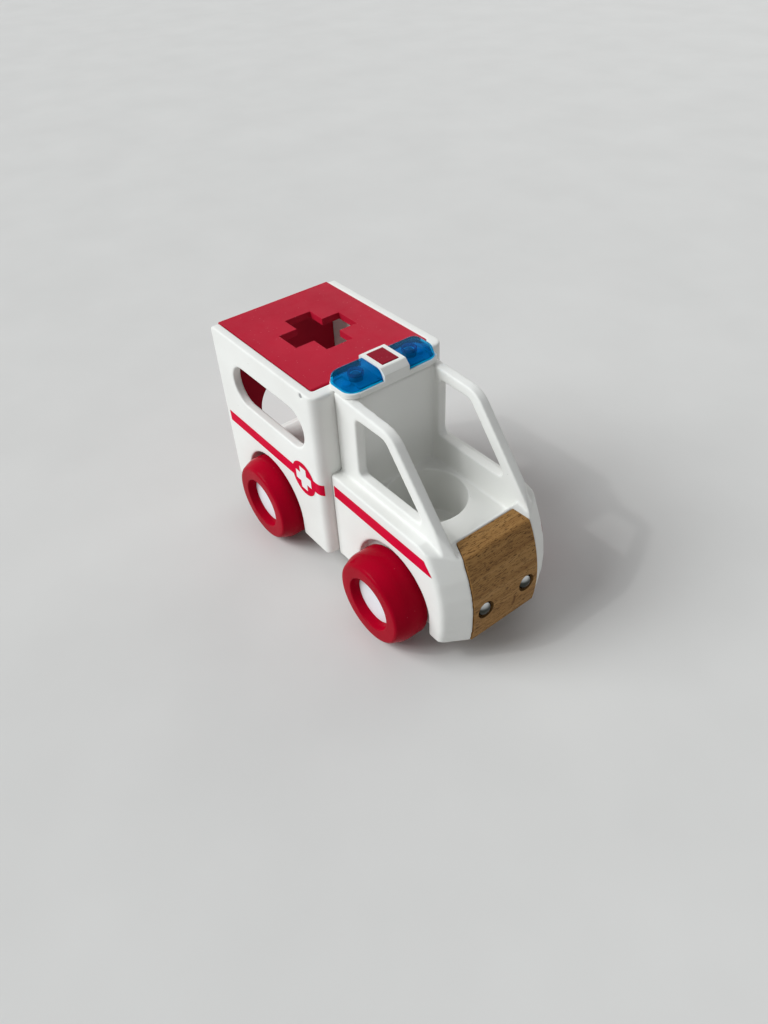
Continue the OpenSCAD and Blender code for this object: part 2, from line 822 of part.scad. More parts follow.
// Side view of the lid: the roof panel and the rear wall that hangs from it
module lid_outline() {
    x0 = x_rear + snug;
    polygon(rounded([
        [x0, roof_z, lid_edge_r], [x0, gate_z + gap, 0], [x0 + gate_t, gate_z + gap, 0],
        [x0 + gate_t, lid_z, lid_edge_r], [lid_front, lid_z, 0], [lid_front, roof_z, lid_edge_r]
    ]));
}

module cross_hole() {
    translate([x_rear + cross_x, 0, lid_z - cut]) linear_extrude(lid_t + 2 * cut) {
        square([cross_l, cross_arm], center = true);
        square([cross_arm, cross_w], center = true);
    }
}

module rear_doorway() {
    spring = door_z - door_w / 2;
    translate([x_rear - cut, 0, 0]) rotate([90, 0, 90]) linear_extrude(gate_t + 2 * cut) {
        translate([0, spring]) circle(d = door_w);
        translate([-door_w / 2, gate_z - cut]) square([door_w, spring - gate_z + cut]);
    }
}

module roof_lid() {
    color(red) difference() {
        slab(-lid_y, lid_y) lid_outline();
        cross_hole();
        rear_doorway();
        both_sides() cross_rod(pin_x, pin_z, pin_d + 2 * running, box_w / 2 - pin_l - gap, lid_y + cut);
    }
}

module lid_hinge_pins() {
    color(steel) both_sides() cross_rod(pin_x, pin_z, pin_d, box_w / 2 - pin_l, box_w / 2 - snug);
}

// Plan of the lenses with round ends, drawn in by the inset
module bar_plan(inset) {
    y = bar_w / 2 - inset;
    r = lens_r - inset;
    x0 = bar_x + inset;
    x1 = lens_front - inset;
    polygon(rounded([[x0, -y, r], [x1, -y, r], [x1, y, r], [x0, y, r]]));
}

module bar_screw_places() {
    both_sides() translate([bar_screw_x, bar_screw_y, 0]) children();
}

module light_bar_base() {
    half = saddle_w / 2;
    in_y = half - saddle_side;
    x1 = bar_x + bar_l;
    lip_y = bar_w / 2 - lens_r;
    hole_x = button_l / 2 + snug;
    hole_y = button_w / 2 + snug;
    color(white) difference() {
        union() {
            translate([0, 0, roof_z]) linear_extrude(bar_t) bar_plan(base_in);
            block([lens_front + snug, -lip_y, roof_z], [x1, lip_y, roof_z + lip_h]);
            slab(-half, half) polygon(rounded([
                [bar_x, roof_z, 0], [x1, roof_z, 0], [x1, saddle_z - bar_bevel, bar_bevel / 3],
                [x1 - bar_bevel, saddle_z, bar_bevel / 2], [bar_x, saddle_z, bar_bevel / 3]
            ]));
        }
        block([cavity_x, -in_y, bar_z], [board_x1 + snug, in_y, saddle_z - saddle_top]);
        block([board_x0 - snug, -half - cut, bar_z], [board_x1 + snug, half + cut, board_z + snug]);
        block([button_x - hole_x, -hole_y, bar_z], [button_x + hole_x, hole_y, saddle_z + cut]);
        lead_slot(roof_z - cut, bar_z + snug);
        bar_screw_places() translate([0, 0, roof_z - cut])
            cylinder(d = bar_screw_d + gap, h = bar_t + 2 * cut);
    }
}

module light_bar_screws() {
    color(steel) bar_screw_places() {
        translate([0, 0, bar_z - bar_screw_l])
            cylinder(d = bar_screw_d, h = bar_screw_l + bar_screw_head / 2);
        translate([0, 0, bar_z]) cylinder(d = bar_screw_head_d, h = bar_screw_head);
    }
}

// Solid form of one lens, drawn in by the inset
module lens_form(inset) {
    x0 = bar_x + inset;
    x1 = lens_front - inset;
    z0 = roof_z + snug - inset;
    z1 = bar_z + lens_h - inset;
    y0 = saddle_w / 2 + snug;
    y1 = bar_w / 2 - inset;
    intersection() {
        translate([bar_x, 0, 0]) rotate([90, 0, 90]) linear_extrude(bar_l) polygon(rounded([
            [0, z0, 0], [y1, z0, 0], [y1 - lens_lean, z1, lens_bevel / 2], [0, z1, 0]
        ]));
        slab(y0 - (inset > 0 ? cut : 0), bar_w / 2) polygon(rounded([
            [x0, z0, 0], [x1, z0, 0], [x1, z1 - lens_bevel, lens_brow_r],
            [x1 - lens_bevel, z1, lens_bevel / 2], [x0 + lens_bevel / 4, z1, lens_bevel / 2]
        ]));
        translate([0, 0, z0]) linear_extrude(z1 - z0) bar_plan(inset);
    }
}

module lens() {
    color(blue, 0.7) difference() {
        lens_form(0);
        lens_form(lens_t);
    }
}

module lens_left() {
    lens();
}

module lens_right() {
    mirror([0, 1, 0]) lens();
}

module centred_block(x, l, w, z0, z1) {
    block([x - l / 2, -w / 2, z0], [x + l / 2, w / 2, z1]);
}

module button_cap() {
    room = switch_w + 2 * gap;
    rim = 2 * button_flange;
    plunger_z = board_z + switch_h + flange_t;
    color(red) difference() {
        union() {
            centred_block(button_x, button_l, button_w, flange_z, button_z);
            centred_block(button_x, button_l + rim, button_w + rim, flange_z, flange_z + flange_t);
        }
        difference() {
            centred_block(button_x, room, room, flange_z - cut, flange_z + flange_t + gap);
            translate([button_x, 0, plunger_z]) cylinder(d = plunger_d, h = lens_h);
        }
    }
}

module switch_plunger() {
    z0 = board_z + switch_h - plunger_bite;
    color(grey) translate([button_x, 0, z0]) cylinder(d = plunger_d, h = plunger_bite + flange_t);
}

module switch_case() {
    color(grey) difference() {
        centred_block(button_x, switch_w, switch_w, board_z, board_z + switch_h);
        translate([button_x, 0, board_z - cut])
            cylinder(d = plunger_d + 2 * running, h = switch_h + 2 * cut);
    }
}

module circuit_board() {
    color(green) block([board_x0, -board_w / 2, bar_z], [board_x1, board_w / 2, board_z]);
}

module leds() {
    color(steel) both_sides() translate([button_x, led_y, board_z]) {
        cylinder(d = led_d, h = led_foot);
        intersection() {
            translate([0, 0, led_foot]) sphere(d = led_d);
            cylinder(d = led_d, h = led_d);
        }
    }
}

// Side view of the flat lead: down through the bulkhead, round a bend and back to the battery
module lead_outline() {
    cx = lead_x - lead_r;
    cz = lead_z + lead_t / 2 + lead_r;
    translate([lead_x, cz]) square([lead_t, bar_z - cz]);
    intersection() {
        translate([cx, cz]) difference() {
            circle(lead_r + lead_t);
            circle(lead_r);
        }
        translate([cx, cz - lead_r - lead_t]) square(lead_r + lead_t);
    }
    translate([tub_front, cz - lead_r - lead_t]) square([cx - tub_front, lead_t]);
}

module flat_lead() {
    color(grey) slab(-lead_w / 2, lead_w / 2) lead_outline();
}

module button_cells() {
    color(steel) for (i = [0:cells - 1]) {
        y0 = (i - cells / 2) * cell_h;
        cross_rod(cell_x, cell_z, cell_d, y0, y0 + cell_h - (i < cells - 1 ? snug : 0));
    }
}

module battery_contacts() {
    x = tub_x / 2;
    y0 = cells * cell_h / 2;
    z = cell_d / 4;
    color(steel) both_sides()
        block([cell_x - x, y0, cell_z - z], [cell_x + x, y0 + contact_t, cell_z + z]);
}

module battery_door() {
    color(white) difference() {
        translate([0, 0, body_z]) linear_extrude(door_t) door_outline(0);
        translate([door_screw_x, 0, body_z - cut]) {
            cylinder(d = screw_d + gap, h = door_t + 2 * cut);
            cylinder(d = screw_head_d + gap, h = door_t / 2 + cut);
        }
    }
}

module battery_door_screw() {
    color(steel) translate([door_screw_x, 0, body_z + snug]) {
        cylinder(d = screw_head_d, h = door_t / 2 - snug);
        cylinder(d = screw_d, h = lead_h / 2);
    }
}

module speaker() {
    color(grey) translate([x_rear + speaker_x, 0, chassis_z]) {
        cylinder(d = speaker_d, h = speaker_h / 2);
        cylinder(d = speaker_d * magnet_share, h = speaker_h);
    }
}

module body_screws() {
    color(steel) for (p = concat(box_screws, cab_screws)) both_sides()
        translate([p[0], p[1], body_z + snug]) {
            cylinder(d = screw_head_d, h = screw_head);
            cylinder(d = screw_d, h = chassis_t + screw_l - 2 * snug);
        }
}

module axle(x) {
    y = track_w / 2 - dish_depth - hub_cap;
    color(steel) cross_rod(x, axle_z, axle_d, -y, y);
}

module axle_front() {
    axle(front_axle_x);
}

module axle_rear() {
    axle(rear_axle_x);
}

// Turns a profile of [radius, distance from the middle] about a wheel's axis
module wheel_turned(x, side) {
    mirror([0, side < 0 ? 1 : 0, 0]) translate([x, 0, axle_z]) rotate([-90, 0, 0]) rotate_extrude($fn = 96)
        children();
}

module hub(x, side) {
    y0 = tyre_y + gap;
    y1 = track_w / 2 - dish_depth;
    color(white) wheel_turned(x, side) polygon([
        [axle_d / 2, y0], [hub_d / 2, y0], [hub_d / 2, y1],
        [0, y1], [0, y1 - hub_cap], [axle_d / 2, y1 - hub_cap]
    ]);
}

module hub_front_left() {
    hub(front_axle_x, 1);
}

module hub_front_right() {
    hub(front_axle_x, -1);
}

module hub_rear_left() {
    hub(rear_axle_x, 1);
}

module hub_rear_right() {
    hub(rear_axle_x, -1);
}

module tyre(x, side) {
    r = tyre_d / 2;
    y1 = track_w / 2;
    color(red) wheel_turned(x, side) polygon(rounded([
        [hub_d / 2, tyre_y, 0], [r, tyre_y, inner_r], [r, y1 - shoulder_w, shoulder_r],
        [r - shoulder_h, y1, face_r], [dish_d / 2, y1, dish_r], [hub_d / 2, y1 - dish_depth, 0]
    ]));
}

module tyre_front_left() {
    tyre(front_axle_x, 1);
}

module tyre_front_right() {
    tyre(front_axle_x, -1);
}

module tyre_rear_left() {
    tyre(rear_axle_x, 1);
}

module tyre_rear_right() {
    tyre(rear_axle_x, -1);
}

rear_body();
cab_shell();
chassis();
roof_lid();
lid_hinge_pins();
wood_nose();
headlamp_left();
headlamp_right();
light_bar_base();
light_bar_screws();
lens_left();
lens_right();
button_cap();
switch_plunger();
switch_case();
circuit_board();
leds();
flat_lead();
button_cells();
battery_contacts();
battery_door();
battery_door_screw();
speaker();
body_screws();
axle_front();
axle_rear();
hub_front_left();
hub_front_right();
hub_rear_left();
hub_rear_right();
tyre_front_left();
tyre_front_right();
tyre_rear_left();
tyre_rear_right();
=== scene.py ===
# Toy ambulance dressed for its picture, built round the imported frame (metres, CAD axes)
import math
import bpy
from mathutils import Matrix, Vector


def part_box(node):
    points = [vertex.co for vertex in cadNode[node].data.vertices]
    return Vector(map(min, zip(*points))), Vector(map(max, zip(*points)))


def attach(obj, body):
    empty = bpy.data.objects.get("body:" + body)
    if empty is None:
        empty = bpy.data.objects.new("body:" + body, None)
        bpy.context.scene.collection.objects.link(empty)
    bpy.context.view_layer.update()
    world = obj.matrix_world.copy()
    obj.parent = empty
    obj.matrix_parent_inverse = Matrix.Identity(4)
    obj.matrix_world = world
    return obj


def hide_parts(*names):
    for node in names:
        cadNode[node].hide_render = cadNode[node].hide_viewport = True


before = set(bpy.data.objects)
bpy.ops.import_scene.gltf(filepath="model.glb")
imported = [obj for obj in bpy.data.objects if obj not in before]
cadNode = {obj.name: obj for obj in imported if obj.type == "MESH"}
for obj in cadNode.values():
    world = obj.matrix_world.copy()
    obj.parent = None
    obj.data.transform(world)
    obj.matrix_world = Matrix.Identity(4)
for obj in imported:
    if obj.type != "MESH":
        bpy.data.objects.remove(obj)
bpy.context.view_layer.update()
mm = 0.001
print("frame loaded,", len(cadNode), "nodes")


# camera: the place and lens that the picture was taken with
photoView = {
    "place": (0.22042, -0.16104, 0.26493),
    "right": (0.616698, 0.786069, -0.042172),
    "down": (0.507051, -0.437636, -0.742545),
    "ahead": (-0.602148, 0.436543, -0.668467),
    "lens": 27.246,
    "sensor": 36.0,
    "nearest": 0.01,
    "farthest": 20,
}
cameraData = bpy.data.cameras.new("photoCamera")
cameraData.lens = photoView["lens"]
cameraData.sensor_width = photoView["sensor"]
cameraData.clip_start = photoView["nearest"]
cameraData.clip_end = photoView["farthest"]
camera = bpy.data.objects.new("photoCamera", cameraData)
bpy.context.scene.collection.objects.link(camera)
cameraAxes = Matrix((
    photoView["right"],
    [-v for v in photoView["down"]],
    [-v for v in photoView["ahead"]],
)).transposed()
camera.matrix_world = Matrix.Translation(photoView["place"]) @ cameraAxes.to_4x4()
bpy.context.scene.camera = camera
bpy.context.scene.view_settings.view_transform = "Standard"
print("camera set")


# small helpers for working by hand; lengths in their settings are in mm
copyWeld = 0.002
spinWeld = 0.004
touching = 0.1  # closer than this counts as on the line


def pickOnly(piece):
    if bpy.context.object and bpy.context.object.mode != "OBJECT":
        bpy.ops.object.mode_set(mode="OBJECT")
    bpy.ops.object.select_all(action="DESELECT")
    if piece:
        piece.select_set(True)
        bpy.context.view_layer.objects.active = piece


def editAll(piece):
    pickOnly(piece)
    bpy.ops.object.mode_set(mode="EDIT")
    bpy.ops.mesh.select_mode(type="VERT")
    bpy.ops.mesh.select_all(action="SELECT")


def leaveEdit():
    bpy.ops.object.mode_set(mode="OBJECT")


def newPiece(name):
    piece = bpy.context.object
    piece.name = name
    piece.data.name = name
    return piece


def settle(piece):
    pickOnly(piece)
    bpy.ops.object.transform_apply(location=True, rotation=True, scale=True)


def addMod(piece, kind, **settings):
    mod = piece.modifiers.new(kind.lower(), kind)
    for key, value in settings.items():
        setattr(mod, key, value)
    pickOnly(piece)
    bpy.ops.object.modifier_apply(modifier=mod.name)


def smoothByAngle(piece, degrees):
    pickOnly(piece)
    bpy.ops.object.shade_smooth_by_angle(angle=math.radians(degrees))


def crispFlats(piece, degrees):
    # large flat faces keep their own normals, and only the small bevels shade round
    smoothByAngle(piece, degrees)
    addMod(piece, "WEIGHTED_NORMAL", keep_sharp=True)


def copyNode(node, name):
    piece = bpy.data.objects.new(name, cadNode[node].data.copy())
    bpy.context.scene.collection.objects.link(piece)
    piece.data.materials.clear()
    editAll(piece)
    bpy.ops.mesh.customdata_custom_splitnormals_clear()
    bpy.ops.mesh.remove_doubles(threshold=copyWeld * mm)
    leaveEdit()
    return piece


def softMoulded(node, name, look):
    # a moulded shell: even small faces, edges melted round, then thinned again
    piece = copyNode(node, name)
    addMod(piece, "REMESH", mode="VOXEL", voxel_size=look["grain"] * mm)
    addMod(piece, "SMOOTH", factor=look["ease"], iterations=look["melt"])
    addMod(piece, "DECIMATE", ratio=look["keep"])
    pickOnly(piece)
    bpy.ops.object.shade_smooth()
    return piece


def eased(node, name, look):
    # a crisp copy with its edges broken by a small bevel
    piece = copyNode(node, name)
    editAll(piece)
    bpy.ops.mesh.dissolve_limited(angle_limit=math.radians(look["flat"]))
    leaveEdit()
    addMod(piece, "BEVEL", width=look["edge"] * mm, segments=look["steps"], limit_method="ANGLE",
           angle_limit=math.radians(look["sharp"]), use_clamp_overlap=True, miter_outer="MITER_ARC")
    crispFlats(piece, look["smooth"])
    return piece


def turned(name, profile, centre, axis, across, steps):
    # profile points are (radius, along the axis) in mm; a point is pulled along them and spun
    axisWay = Vector(axis)
    acrossWay = Vector(across)
    spots = [Vector(centre) + (acrossWay * r + axisWay * a) * mm for r, a in profile]
    pickOnly(None)
    bpy.ops.mesh.primitive_plane_add(size=mm, location=spots[0])
    piece = newPiece(name)
    settle(piece)
    editAll(piece)
    bpy.ops.mesh.merge(type="CENTER")
    for start, end in zip(spots, spots[1:]):
        bpy.ops.mesh.extrude_vertices_move(TRANSFORM_OT_translate={"value": end - start})
    bpy.ops.mesh.select_all(action="SELECT")
    bpy.ops.mesh.spin(steps=steps, angle=2 * math.pi, center=centre, axis=axis)
    bpy.ops.mesh.select_all(action="SELECT")
    bpy.ops.mesh.remove_doubles(threshold=spinWeld * mm)
    bpy.ops.mesh.normals_make_consistent(inside=False)
    leaveEdit()
    return piece


def arcAt(cx, cy, r, start, end, steps):
    turn = [math.radians(start + (end - start) * i / steps) for i in range(steps + 1)]
    return [(cx + r * math.cos(t), cy + r * math.sin(t)) for t in turn]


def fitPiece(piece, material, body, slotName, *nodes):
    piece.data.materials.clear()
    piece.data.materials.append(material)
    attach(piece, body)
    if nodes:
        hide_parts(*nodes)


# materials, all from nodes on Object coordinates
noiseLow = 0.3  # nearly all of a noise lies between these two
noiseHigh = 0.7


def startMaterial(name):
    material = bpy.data.materials.new(name)
    material.use_nodes = True
    shader = material.node_tree.nodes["Principled BSDF"]
    return material, material.node_tree, shader


def placed(tree, scale=(1, 1, 1), shift=(0, 0, 0)):
    coords = tree.nodes.new("ShaderNodeTexCoord")
    mapping = tree.nodes.new("ShaderNodeMapping")
    mapping.inputs["Scale"].default_value = scale
    mapping.inputs["Location"].default_value = shift
    tree.links.new(coords.outputs["Object"], mapping.inputs["Vector"])
    return mapping.outputs["Vector"]


def noise(tree, where, scale, detail=3.0, rough=0.5):
    node = tree.nodes.new("ShaderNodeTexNoise")
    node.inputs["Scale"].default_value = scale
    node.inputs["Detail"].default_value = detail
    node.inputs["Roughness"].default_value = rough
    tree.links.new(where, node.inputs["Vector"])
    return node.outputs["Fac"]


def ramp(tree, value, stops):
    node = tree.nodes.new("ShaderNodeValToRGB")
    marks = node.color_ramp.elements
    while len(marks) < len(stops):
        marks.new(0.5)
    for mark, (place, colour) in zip(marks, stops):
        mark.position = place
        mark.color = (*colour, 1)
    tree.links.new(value, node.inputs["Fac"])
    return node.outputs["Color"]


def twoTone(tree, value, look):
    return ramp(tree, value, [(noiseLow, look["dark"]), (noiseHigh, look["pale"])])


def spread(tree, value, low, high, fromLow=noiseLow, fromHigh=noiseHigh):
    node = tree.nodes.new("ShaderNodeMapRange")
    node.inputs["From Min"].default_value = fromLow
    node.inputs["From Max"].default_value = fromHigh
    node.inputs["To Min"].default_value = low
    node.inputs["To Max"].default_value = high
    tree.links.new(value, node.inputs["Value"])
    return node.outputs["Result"]


def blendColour(tree, share, first, second):
    # sockets 6 and 7 of the node are its two colours, and 2 is the colour that comes out
    node = tree.nodes.new("ShaderNodeMix")
    node.data_type = "RGBA"
    tree.links.new(share, node.inputs[0])
    tree.links.new(first, node.inputs[6])
    node.inputs[7].default_value = (*second, 1)
    return node.outputs[2]


def addBump(tree, shader, height, strength, depth):
    node = tree.nodes.new("ShaderNodeBump")
    node.inputs["Strength"].default_value = strength
    node.inputs["Distance"].default_value = depth * mm
    tree.links.new(height, node.inputs["Height"])
    tree.links.new(node.outputs["Normal"], shader.inputs["Normal"])


def joinValues(tree, way, first, second):
    node = tree.nodes.new("ShaderNodeMath")
    node.operation = way
    for socket, value in ((node.inputs[0], first), (node.inputs[1], second)):
        if isinstance(value, (int, float)):
            socket.default_value = value
        else:
            tree.links.new(value, socket)
    return node.outputs[0]


speckCore = 0.55  # the full part of a spot's radius
speckStep = 0.02


def speckles(tree, where, scale, size, share):
    # small round spots, one in each cell whose own random number is high
    node = tree.nodes.new("ShaderNodeTexVoronoi")
    node.inputs["Scale"].default_value = scale
    tree.links.new(where, node.inputs["Vector"])
    near = spread(tree, node.outputs["Distance"], 1.0, 0.0, size * speckCore, size)
    split = tree.nodes.new("ShaderNodeSeparateColor")
    tree.links.new(node.outputs["Color"], split.inputs["Color"])
    chosen = spread(tree, split.outputs["Red"], 0.0, 1.0, 1 - share, 1 - share + speckStep)
    return joinValues(tree, "MULTIPLY", near, chosen)


def mouldedPlastic(name, look):
    material, tree, shader = startMaterial(name)
    where = placed(tree)
    base = twoTone(tree, noise(tree, where, look["cloud"], detail=2.0), look)
    spots = speckles(tree, where, look["specks"], look["speckSize"], look["speckShare"])
    dusty = joinValues(tree, "MULTIPLY", spots, look["dust"])
    colour = blendColour(tree, dusty, base, look["dustColour"])
    tree.links.new(colour, shader.inputs["Base Color"])
    wear = noise(tree, where, look["wear"], detail=5.0, rough=0.6)
    tree.links.new(spread(tree, wear, *look["rough"]), shader.inputs["Roughness"])
    addBump(tree, shader, noise(tree, where, look["grain"], detail=2.0), look["bump"], depth=0.03)
    shader.inputs["Specular IOR Level"].default_value = look["gloss"]
    return material


whitePlastic = mouldedPlastic("whitePlastic", {
    "dark": (0.785, 0.785, 0.752), "pale": (0.845, 0.848, 0.818), "cloud": 30, "specks": 210,
    "speckSize": 0.055, "speckShare": 0.16, "dust": 0.55, "dustColour": (0.30, 0.28, 0.25), "wear": 160,
    "rough": (0.46, 0.58), "grain": 2600, "bump": 0.12, "gloss": 0.24,
})
hubWhite = mouldedPlastic("hubWhite", {
    "dark": (0.76, 0.765, 0.80), "pale": (0.82, 0.825, 0.85), "cloud": 60, "specks": 300,
    "speckSize": 0.06, "speckShare": 0.12, "dust": 0.4, "dustColour": (0.40, 0.38, 0.38), "wear": 240,
    "rough": (0.36, 0.50), "grain": 2200, "bump": 0.14, "gloss": 0.4,
})
redPlastic = mouldedPlastic("redPlastic", {
    "dark": (0.42, 0.008, 0.028), "pale": (0.49, 0.012, 0.036), "cloud": 35, "specks": 620,
    "speckSize": 0.17, "speckShare": 0.22, "dust": 0.42, "dustColour": (0.66, 0.22, 0.25), "wear": 220,
    "rough": (0.36, 0.52), "grain": 3000, "bump": 0.18, "gloss": 0.06,
})
buttonRed = mouldedPlastic("buttonRed", {
    "dark": (0.24, 0.006, 0.019), "pale": (0.29, 0.009, 0.025), "cloud": 90, "specks": 700,
    "speckSize": 0.16, "speckShare": 0.2, "dust": 0.4, "dustColour": (0.55, 0.20, 0.22), "wear": 320,
    "rough": (0.34, 0.50), "grain": 3000, "bump": 0.14, "gloss": 0.03,
})
redTyre = mouldedPlastic("redTyre", {
    "dark": (0.30, 0.001, 0.011), "pale": (0.375, 0.001, 0.016), "cloud": 40, "specks": 520,
    "speckSize": 0.13, "speckShare": 0.07, "dust": 0.4, "dustColour": (0.58, 0.12, 0.16), "wear": 140,
    "rough": (0.14, 0.26), "grain": 1800, "bump": 0.05, "gloss": 0.022,
})
redFilm = mouldedPlastic("redFilm", {
    "dark": (0.58, 0.003, 0.030), "pale": (0.66, 0.005, 0.042), "cloud": 60, "specks": 700,
    "speckSize": 0.12, "speckShare": 0.1, "dust": 0.3, "dustColour": (0.75, 0.25, 0.30), "wear": 300,
    "rough": (0.42, 0.56), "grain": 3000, "bump": 0.08, "gloss": 0.015,
})
whiteFilm = mouldedPlastic("whiteFilm", {
    "dark": (0.80, 0.80, 0.79), "pale": (0.86, 0.86, 0.85), "cloud": 60, "specks": 500,
    "speckSize": 0.08, "speckShare": 0.1, "dust": 0.3, "dustColour": (0.70, 0.50, 0.50), "wear": 300,
    "rough": (0.34, 0.46), "grain": 3000, "bump": 0.06, "gloss": 0.35,
})
darkPlastic = mouldedPlastic("darkPlastic", {
    "dark": (0.018, 0.019, 0.021), "pale": (0.035, 0.036, 0.038), "cloud": 60, "specks": 600,
    "speckSize": 0.12, "speckShare": 0.2, "dust": 0.3, "dustColour": (0.20, 0.20, 0.20), "wear": 300,
    "rough": (0.40, 0.60), "grain": 2600, "bump": 0.2, "gloss": 0.4,
})
boardWhite = mouldedPlastic("boardWhite", {
    "dark": (0.58, 0.60, 0.58), "pale": (0.66, 0.68, 0.66), "cloud": 150, "specks": 420,
    "speckSize": 0.2, "speckShare": 0.3, "dust": 0.7, "dustColour": (0.30, 0.27, 0.14), "wear": 400,
    "rough": (0.30, 0.48), "grain": 1500, "bump": 0.2, "gloss": 0.5,
})


def below(tree, low, high):
    # 1 under the height low, 0 over the height high
    split = tree.nodes.new("ShaderNodeSeparateXYZ")
    tree.links.new(placed(tree), split.inputs[0])
    return spread(tree, split.outputs["Z"], 1.0, 0.0, low * mm, high * mm)


def brushedMetal(name, look):
    material, tree, shader = startMaterial(name)
    where = placed(tree)
    colour = twoTone(tree, noise(tree, where, look["cloud"], detail=3.0), look)
    # painted reflection: the colour turns darker below a given height, standing in for the dark floor that a
    # chrome dome mirrors
    if "paintedReflection" in look:
        colour = blendColour(tree, below(tree, *look["paintedReflection"]), colour, look["paintedReflectionColour"])
    tree.links.new(colour, shader.inputs["Base Color"])
    marks = noise(tree, placed(tree, look["draw"]), look["marks"], detail=4.0, rough=0.65)
    tree.links.new(spread(tree, marks, *look["rough"]), shader.inputs["Roughness"])
    addBump(tree, shader, marks, look["bump"], depth=0.02)
    shader.inputs["Metallic"].default_value = 1.0
    return material


steelMetal = brushedMetal("steelMetal", {
    "dark": (0.46, 0.47, 0.48), "pale": (0.58, 0.585, 0.59), "cloud": 120,
    "draw": (1, 0.15, 1), "marks": 2500, "rough": (0.22, 0.38), "bump": 0.12,
})
chromeMetal = brushedMetal("chromeMetal", {
    "dark": (0.50, 0.51, 0.50), "pale": (0.62, 0.63, 0.615), "cloud": 200,
    "draw": (1, 1, 1), "marks": 900, "rough": (0.06, 0.14), "bump": 0.06,
    # painted reflection: the domes are darker below these heights (mm), standing in for the floor that they
    # mirror
    "paintedReflection": (28.9, 31.3), "paintedReflectionColour": (0.045, 0.047, 0.040),
})


def nearSpot(tree, spot, inner, outer):
    # 1 close to a line along X through the spot (y, z), 0 away from it
    where = placed(tree, (0, 1, 1), shift=(0, -spot[0] * mm, -spot[1] * mm))
    reach = tree.nodes.new("ShaderNodeVectorMath")
    reach.operation = "LENGTH"
    tree.links.new(where, reach.inputs[0])
    return spread(tree, reach.outputs["Value"], 1.0, 0.0, inner * mm, outer * mm)


def beechWood(name, look):
    # grain runs across the car (Y): drawn-out streaks, short dark pores, and painted shade in the lamp holes
    material, tree, shader = startMaterial(name)
    streaks = noise(tree, placed(tree, look["streakDraw"]), look["streaks"], detail=5.0, rough=0.62)
    base = ramp(tree, streaks, look["tones"])
    pores = noise(tree, placed(tree, look["poreDraw"]), look["pores"], detail=3.0, rough=0.6)
    poreMask = spread(tree, pores, 0.0, look["poreDepth"], *look["poreFrom"])
    withPores = blendColour(tree, poreMask, base, look["poreColour"])
    fleckPlace = placed(tree, look["fleckDraw"], shift=look["fleckShift"])
    flecks = noise(tree, fleckPlace, look["flecks"], detail=2.0)
    fleckMask = spread(tree, flecks, 0.0, look["fleckDepth"], *look["fleckFrom"])
    colour = blendColour(tree, fleckMask, withPores, look["fleckColour"])
    figure = joinValues(tree, "SUBTRACT", nearSpot(tree, look["figure"], *look["figureOut"]),
                        nearSpot(tree, look["figure"], *look["figureIn"]))
    figureEnd = nearSpot(tree, look["figureMiddle"], *look["figureReach"])
    figureArc = joinValues(tree, "MULTIPLY", figure, figureEnd)
    figureMask = joinValues(tree, "MULTIPLY", figureArc, look["figureDepth"])
    colour = blendColour(tree, figureMask, colour, look["figureColour"])
    # painted shade: a dark ring round each lamp hole, standing in for the shade inside the recess
    for spot in look["holes"]:
        paintedHoleShade = joinValues(tree, "MULTIPLY", nearSpot(tree, spot, *look["paintedHoleShadeReach"]), look["paintedHoleShade"])
        colour = blendColour(tree, paintedHoleShade, colour, look["paintedHoleShadeColour"])
    tree.links.new(colour, shader.inputs["Base Color"])
    tree.links.new(spread(tree, pores, *look["rough"]), shader.inputs["Roughness"])
    addBump(tree, shader, pores, look["bump"], depth=0.05)
    shader.inputs["Specular IOR Level"].default_value = look["gloss"]
    return material


beech = beechWood("beech", {
    "streakDraw": (1, 0.05, 1), "streaks": 420,
    "tones": [(0.25, (0.25, 0.118, 0.037)), (0.5, (0.385, 0.205, 0.068)), (0.78, (0.51, 0.295, 0.115))],
    "poreDraw": (1, 0.14, 1), "pores": 2900, "poreDepth": 0.85, "poreFrom": (0.555, 0.605),
    "poreColour": (0.075, 0.034, 0.012),
    "fleckDraw": (1, 0.16, 1), "fleckShift": (0.3, 0.1, 0.7), "flecks": 900, "fleckDepth": 0.5,
    "fleckFrom": (0.60, 0.66), "fleckColour": (0.14, 0.068, 0.024),
    "figure": (-3.0, 23.0), "figureOut": (8.4, 8.7), "figureIn": (7.1, 7.5), "figureMiddle": (5.0, 22.2),
    "figureReach": (2.2, 3.4), "figureDepth": 0.75, "figureColour": (0.125, 0.052, 0.014),
    # painted shade in the lamp recesses: dark rings round the two lamp holes
    "holes": [(11.3, 27.9), (-11.3, 27.9)], "paintedHoleShadeReach": (3.9, 4.25), "paintedHoleShade": 0.8,
    "paintedHoleShadeColour": (0.035, 0.018, 0.008), "rough": (0.42, 0.60), "bump": 0.3, "gloss": 0.1,
})


def clearLens(name, look):
    material, tree, shader = startMaterial(name)
    where = placed(tree)
    colour = twoTone(tree, noise(tree, where, look["cloud"], detail=2.0), look)
    tree.links.new(colour, shader.inputs["Base Color"])
    haze = noise(tree, where, look["haze"], detail=4.0)
    tree.links.new(spread(tree, haze, *look["rough"]), shader.inputs["Roughness"])
    addBump(tree, shader, noise(tree, where, look["ripple"], detail=2.0), look["bump"], depth=0.03)
    shader.inputs["Transmission Weight"].default_value = look["clear"]
    shader.inputs["IOR"].default_value = look["ior"]
    return material


blueLens = clearLens("blueLens", {
    "dark": (0.000, 0.29, 0.56), "pale": (0.001, 0.40, 0.70), "cloud": 120, "haze": 260,
    "ripple": 420, "rough": (0.02, 0.05), "bump": 0.05, "clear": 0.94, "ior": 1.07,
})
clearDiode = clearLens("clearDiode", {
    "dark": (0.55, 0.60, 0.66), "pale": (0.70, 0.75, 0.80), "cloud": 400, "haze": 260,
    "ripple": 420, "rough": (0.05, 0.12), "bump": 0.05, "clear": 0.6, "ior": 1.5,
})
print("materials made")


